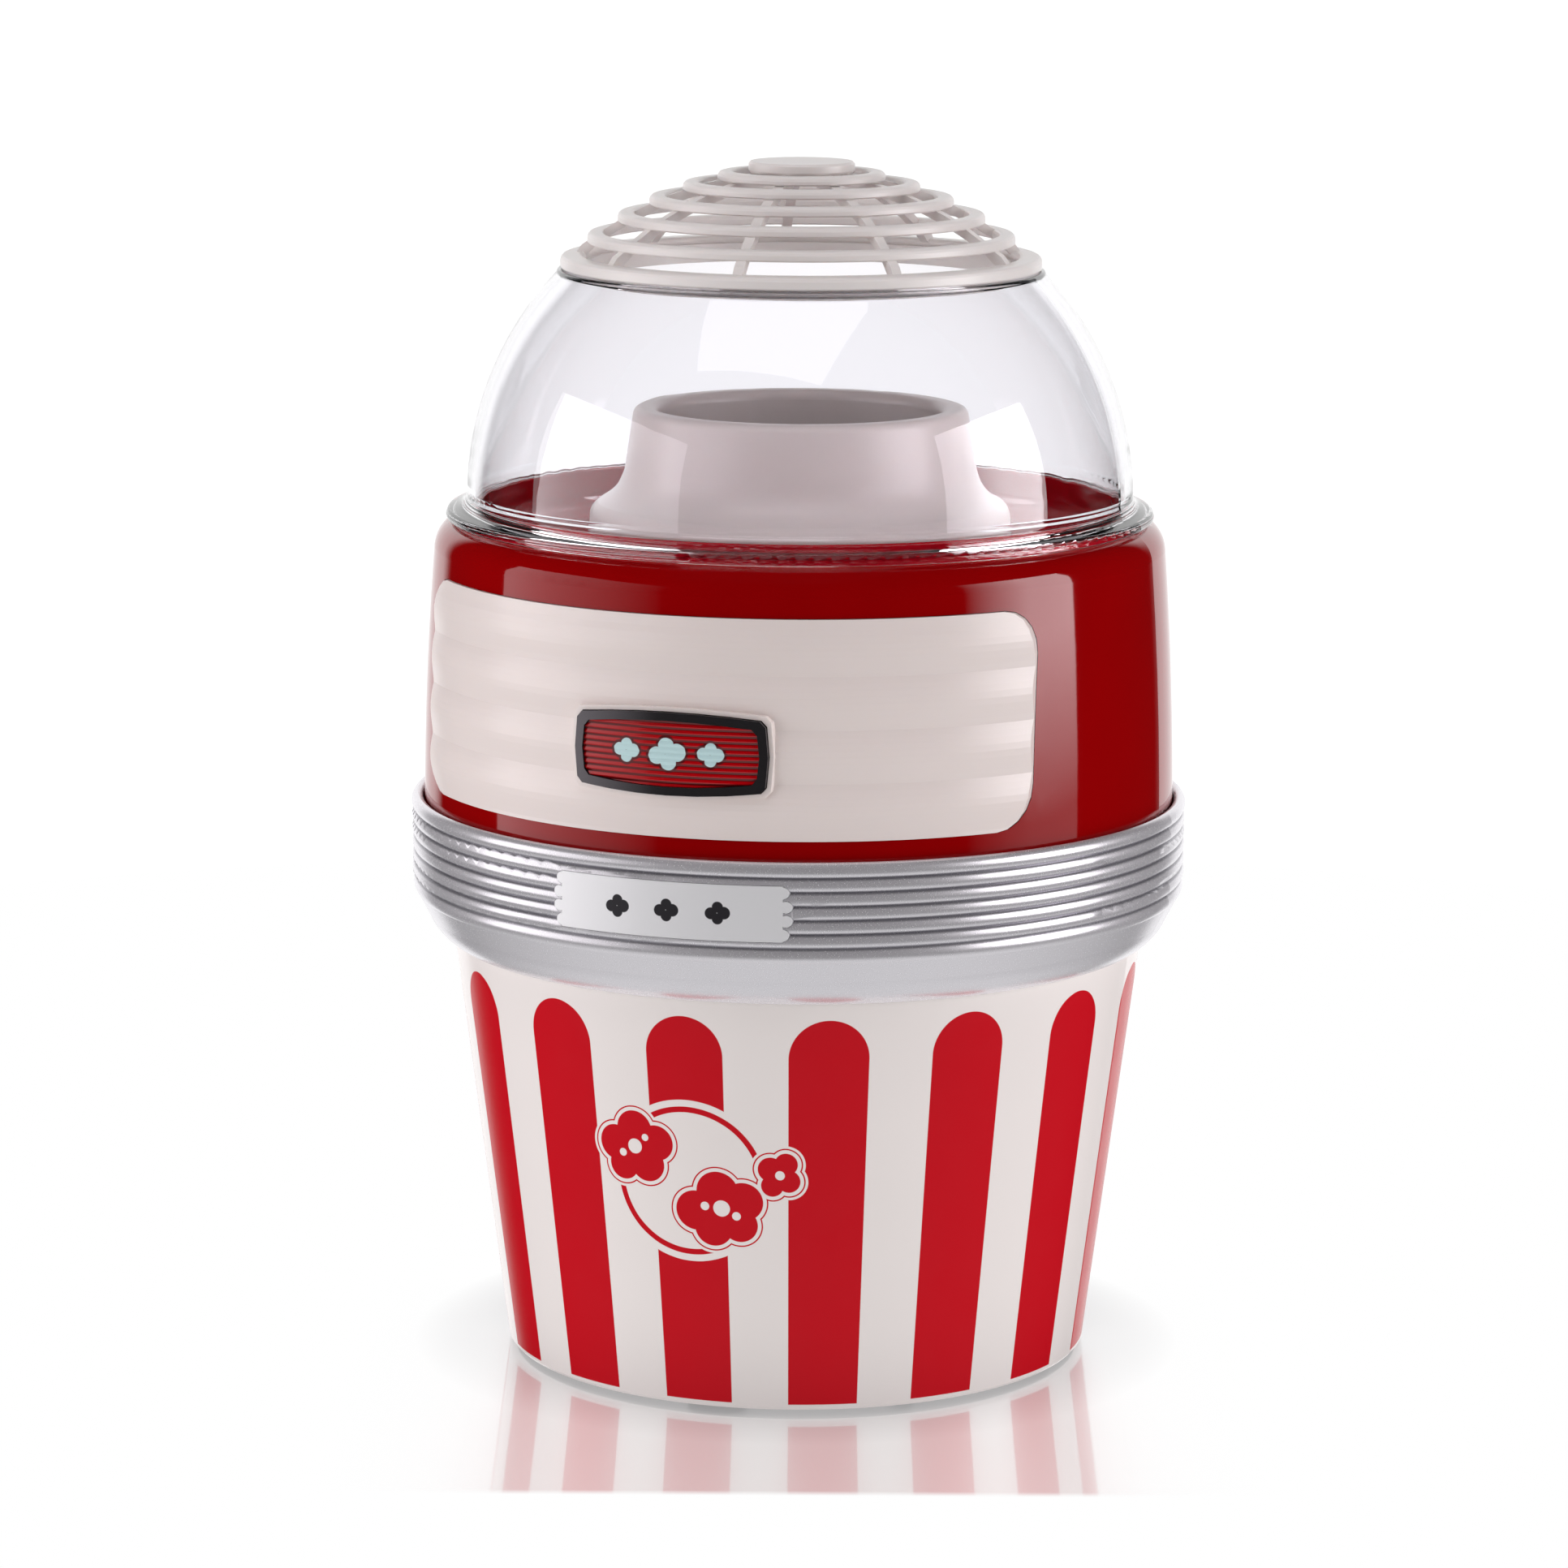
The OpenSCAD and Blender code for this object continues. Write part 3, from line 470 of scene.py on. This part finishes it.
# %% Dress every node
finishes = {
    "base_cup": cup_finish(),
    "bottom_cover": plain_moulding("floor_grey", (0.32, 0.32, 0.31)),
    "rubber_feet": plain_moulding("foot_rubber", (0.025, 0.025, 0.026), 0.75),
    "trim_band": silver_paint("silver_paint", srgb(247, 245, 250), 0.24),
    "nameplate": nameplate_finish(),
    "upper_housing": red,
    "front_panel": satin_cream("satin_cream", srgb(234, 223, 219), 0.24),
    "badge_frame": dark_chrome(),
    "badge_insert": badge_finish(),
    "popcorn_tray": tray_red,
    "chute": satin_cream("chute_beige", srgb(201, 191, 188), 0.3),
    "chamber_seal": plain_moulding("seal_silicone", (0.4, 0.05, 0.02), 0.6),
    "popping_chamber": sheet_metal("drawn_aluminium", (0.7, 0.7, 0.71), 0.32, 0.03),
    "mica_former": plain_moulding("mica_sheet", (0.34, 0.26, 0.15), 0.45, 0.003),
    "heater_coil": sheet_metal("oxidised_wire", (0.2, 0.18, 0.17), 0.45, 0.003),
    "motor_magnets": plain_moulding("magnet_ferrite", (0.03, 0.03, 0.032), 0.6),
    "motor_bushes": sheet_metal("bush_bronze", (0.6, 0.4, 0.16), 0.3, 0.003),
    "motor_brushes": plain_moulding("brush_carbon", (0.02, 0.02, 0.02), 0.55),
    "motor_armature": copper,
    "motor_commutator": copper,
    "rectifier_board": plain_moulding("board_green", (0.01, 0.09, 0.03), 0.35),
    "terminal_block": plain_moulding("block_ivory", (0.62, 0.57, 0.45)),
    "rear_plate": plain_moulding("plate_white", CUP_WHITE, 0.3),
    "switch_rocker": plain_moulding("rocker_red", srgb(176, 10, 12), 0.25),
    "live_wire": brown_wire,
    "switched_wire": brown_wire,
    "heater_wire": plain_moulding("wire_white", (0.7, 0.7, 0.68), 0.4),
    "neutral_wire": plain_moulding("wire_blue", (0.01, 0.04, 0.28), 0.35),
    "dome": clear_plastic(),
    "vent_lid": satin_cream("lid_cream", srgb(240, 235, 232), 0.32),
}
for name in ("thermostat", "motor_end_cap", "fan", "rectifier_diodes",
             "switch_body", "cord_gland"):
    finishes[name] = black
for name in ("air_duct", "motor_bracket", "motor_can"):
    finishes[name] = galvanised
for name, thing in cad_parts.items():
    thing.data.materials.clear()
    thing.data.materials.append(finishes.get(name, zinc))
print("finishes on", len(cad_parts), "nodes")


# %% [markdown]
# ## A white floor
#
# The machine stands on white board that glows evenly, so the ground runs into the background
# with no horizon. Only a strip in front of the cup is polished, and only for a low eye, as
# lacquer is: there the stripes mirror faintly. Where the cup meets the board, a painted shade
# greys the glow and holds it down.

# %% Floor
CAMERA_AZIMUTH = math.radians(18.8)
FLOOR_RADIUS = 0.7

bpy.ops.object.select_all(action="DESELECT")
bpy.ops.mesh.primitive_circle_add(vertices=96, radius=FLOOR_RADIUS, fill_type="NGON",
                                  location=(0, 0, 0))
floor = bpy.context.object
floor.name = "studio_floor"
floor.visible_glossy = False
board = bpy.data.materials.new("floor_white")
board.use_nodes = True
board.node_tree.nodes.clear()
floor.data.materials.append(board)
print("floor", 2 * FLOOR_RADIUS, "m across")

# %% Its polish and painted shade
CONTACT_RADIUS, CONTACT_SOFT = 0.088, 0.02
STRIP_FRONT, STRIP_BACK, STRIP_HALF = 0.15, -0.03, 0.106
LOW_EYE = 0.686            # how grazing the view must be for the polish to show
POLISH = 0.56

lacquer = Wiring(board.node_tree)
x, y = lacquer.xyz()[:2]
reach = (x * x + y * y).math("SQRT")
forward = x * math.sin(CAMERA_AZIMUTH) - y * math.cos(CAMERA_AZIMUTH)
sideways = abs(x * math.cos(CAMERA_AZIMUTH) + y * math.sin(CAMERA_AZIMUTH))
painted_shade_fade = lacquer.step(reach, CONTACT_RADIUS, CONTACT_SOFT)
# painted shadow: the floor's glow is mixed to grey near the cup's foot
glow = lacquer.node("ShaderNodeEmission", Strength=1.0,
                    Color=lacquer.mix(painted_shade_fade, (0.58, 0.56, 0.57), (1, 1, 1)))
sharp, broad = [lacquer.node("ShaderNodeBsdfAnisotropic", Color=(1, 1, 1, 1), Roughness=rough)
                for rough in (0.06, 0.38)]
gloss = lacquer.node("ShaderNodeMixShader", i0=0.5, i1=sharp, i2=broad)
grazing = lacquer.node("ShaderNodeLayerWeight", outlet="Facing", Blend=0.5)
strip = (1 - lacquer.step(forward, STRIP_FRONT, 0.002)) * lacquer.step(forward, STRIP_BACK, 0.03)
strip = strip * (1 - lacquer.step(sideways, STRIP_HALF, 0.018))
shine = strip * lacquer.step(grazing, LOW_EYE, 0.008) * POLISH
both = lacquer.node("ShaderNodeMixShader", i0=shine, i1=glow, i2=gloss)
lacquer.node("ShaderNodeOutputMaterial", Surface=both)
print("polished strip", 2 * STRIP_HALF, "m wide")


# %% [markdown]
# ## Softboxes
#
# Two tall boxes at the sides and a broad one overhead light the machine. One lamp could both
# light and mirror itself, but then a change to the light also moves the highlights. So each
# side has a pair: a box that only lights, and just in front of it a gleam that only shows in
# gloss, which draws the upright highlights down the red housing.

# %% Lamps
LAMP_TINT = (1.0, 0.965, 0.985)
SIDE_AIM_Z, TOP_AIM_Z = 0.36, 0.18


def softbox(name, azimuth, height, distance, width, tall, radiance, aim_z):
    """An area light at an azimuth counted from the camera's side, turned to the machine."""
    turn = CAMERA_AZIMUTH + math.radians(azimuth)
    spot = Vector((distance * math.sin(turn), -distance * math.cos(turn), height))
    lamp = bpy.data.lights.new(name, "AREA")
    lamp.shape = "RECTANGLE"
    lamp.size = width
    lamp.size_y = tall
    lamp.color = LAMP_TINT
    lamp.energy = radiance * math.pi * width * tall
    thing = bpy.data.objects.new(name, lamp)
    thing.location = spot
    facing = Vector((0, 0, aim_z)) - spot
    thing.rotation_euler = facing.to_track_quat("-Z", "Y").to_euler()
    bpy.context.scene.collection.objects.link(thing)
    print(name, "gives", round(lamp.energy, 1), "W")
    return thing


light_right = softbox("softbox_right", 70, 0.36, 1.3, 0.95, 1.0, 4.0, SIDE_AIM_Z)
gleam_right = softbox("gleam_right", 70, 0.35, 1.2, 0.88, 0.93, 5.4, SIDE_AIM_Z)
light_left = softbox("softbox_left", -71, 0.36, 1.3, 1.5, 1.0, 2.7, SIDE_AIM_Z)
gleam_left = softbox("gleam_left", -71, 0.35, 1.2, 1.38, 0.93, 1.7, SIDE_AIM_Z)
light_top = softbox("softbox_top", -20, 1.7, 0.5, 1.2, 1.2, 2.4, TOP_AIM_Z)
for thing in (light_right, light_left, light_top):
    thing.visible_glossy = False
for thing in (gleam_right, gleam_left):
    thing.visible_diffuse = False


# %% [markdown]
# A real softbox is brightest near its bulb. An area light can fade too: its Parametric output
# runs from 0 to 1 across the lamp and up it, and a Map Range turns that into strength. The
# highlights then have one crisp edge and one that melts away.

# %% Fading gleams
FOOT_DARK, FOOT_BRIGHT = 0.1, 0.28     # shares of the lamp's height


def fade(thing, dark, bright, foot=1.0):
    """Fade a lamp across its width from dark to bright, and to a share of itself at its foot."""
    thing.data.use_nodes = True
    glow = Wiring(thing.data.node_tree)
    across, up = glow.xyz(glow.node("ShaderNodeNewGeometry", outlet="Parametric"))[:2]
    side = glow.node("ShaderNodeMapRange", Value=across, From_Min=dark, From_Max=bright)
    rise = glow.node("ShaderNodeMapRange", Value=up, From_Min=FOOT_DARK,
                     From_Max=FOOT_BRIGHT, To_Min=foot)
    strength = glow.tree.nodes["Emission"].inputs["Strength"]
    glow.tree.links.new((side * rise).socket, strength)
    print(thing.name, "fades")


fade(gleam_right, 0.0, 0.55, foot=0.15)
fade(gleam_left, 1.0, 0.1)


# %% [markdown]
# ## The room
#
# The room is a white wall behind the machine and darkness in front, which keeps the red deep.
# A ray's own history says what it should see: straight rays, and those through the clear dome,
# see plain white. Reflected rays see the wall only where it stands, and looking steeply down
# they see a pale tabletop, which lights the lip under the silver ribs.

# %% World
WALL_FROM, WALL_FULL, WALL_GLOW = 0.76, 0.86, 1.12
FRONT_GLOW, FRONT_GLOW_IN_GLOSS = 0.03, 0.01
TABLE_FROM, TABLE_FULL, TABLE_GLOW = -0.45, -0.85, 0.5

world = bpy.data.worlds.new("studio_world")
bpy.context.scene.world = world
world.use_nodes = True
world.node_tree.nodes.clear()
room = Wiring(world.node_tree)
heading = room.node("ShaderNodeTexCoord", outlet="Generated")
towards = room.node("ShaderNodeVectorMath", {"operation": "DOT_PRODUCT"}, outlet="Value",
                    i0=heading, i1=(-math.sin(CAMERA_AZIMUTH), math.cos(CAMERA_AZIMUTH), 0.0))
bounces, straight, through = room.outlets(room.node("ShaderNodeLightPath"), "Glossy Depth",
                                          "Is Camera Ray", "Is Transmission Ray")
reflected = bounces.math("MINIMUM", 1.0)
front = reflected * (FRONT_GLOW_IN_GLOSS - FRONT_GLOW) + FRONT_GLOW
wall = room.node("ShaderNodeMapRange", {"interpolation_type": "SMOOTHSTEP"}, Value=towards,
                 From_Min=WALL_FROM, From_Max=WALL_FULL, To_Min=front, To_Max=WALL_GLOW)
plain = straight.math("MAXIMUM", through).math("SUBTRACT", bounces, clamp=True)
table = room.node("ShaderNodeMapRange", Value=room.xyz(heading)[2],
                  From_Min=TABLE_FROM, From_Max=TABLE_FULL, To_Max=TABLE_GLOW)
strength = table * reflected + wall.math("MAXIMUM", plain)
sky = room.node("ShaderNodeBackground", Color=(1, 1, 1, 1), Strength=strength)
room.node("ShaderNodeOutputWorld", Surface=sky)
print("room lit with", len(world.node_tree.nodes), "nodes")


# %% [markdown]
# ## The camera
#
# A long lens from a little above keeps the rings of the lid nearly flat, with a slight drop of
# the near edge. The camera stands to the right of the front, so the badge turns away.

# %% Camera
CAMERA_DISTANCE, CAMERA_HEIGHT = 1.5947, 0.4568
PITCH, ROLL = math.radians(10.593), math.radians(0.27)
YAW = CAMERA_AZIMUTH + math.radians(0.146)

camera = bpy.data.objects.new("camera", bpy.data.cameras.new("camera"))
bpy.context.scene.collection.objects.link(camera)
bpy.context.scene.camera = camera
camera.data.sensor_width = 36
camera.data.lens = 133.5
camera.data.clip_start, camera.data.clip_end = 0.01, 60
camera.location = (CAMERA_DISTANCE * math.sin(CAMERA_AZIMUTH),
                   -CAMERA_DISTANCE * math.cos(CAMERA_AZIMUTH), CAMERA_HEIGHT)
facing = Matrix.Rotation(YAW, 4, "Z") @ Matrix.Rotation(math.pi / 2 - PITCH, 4, "X")
camera.rotation_euler = (facing @ Matrix.Rotation(ROLL, 4, "Z")).to_euler()
bpy.context.scene.view_settings.view_transform = "Standard"
bpy.context.scene.view_settings.look = "None"
print("camera at", tuple(round(v, 3) for v in camera.location))
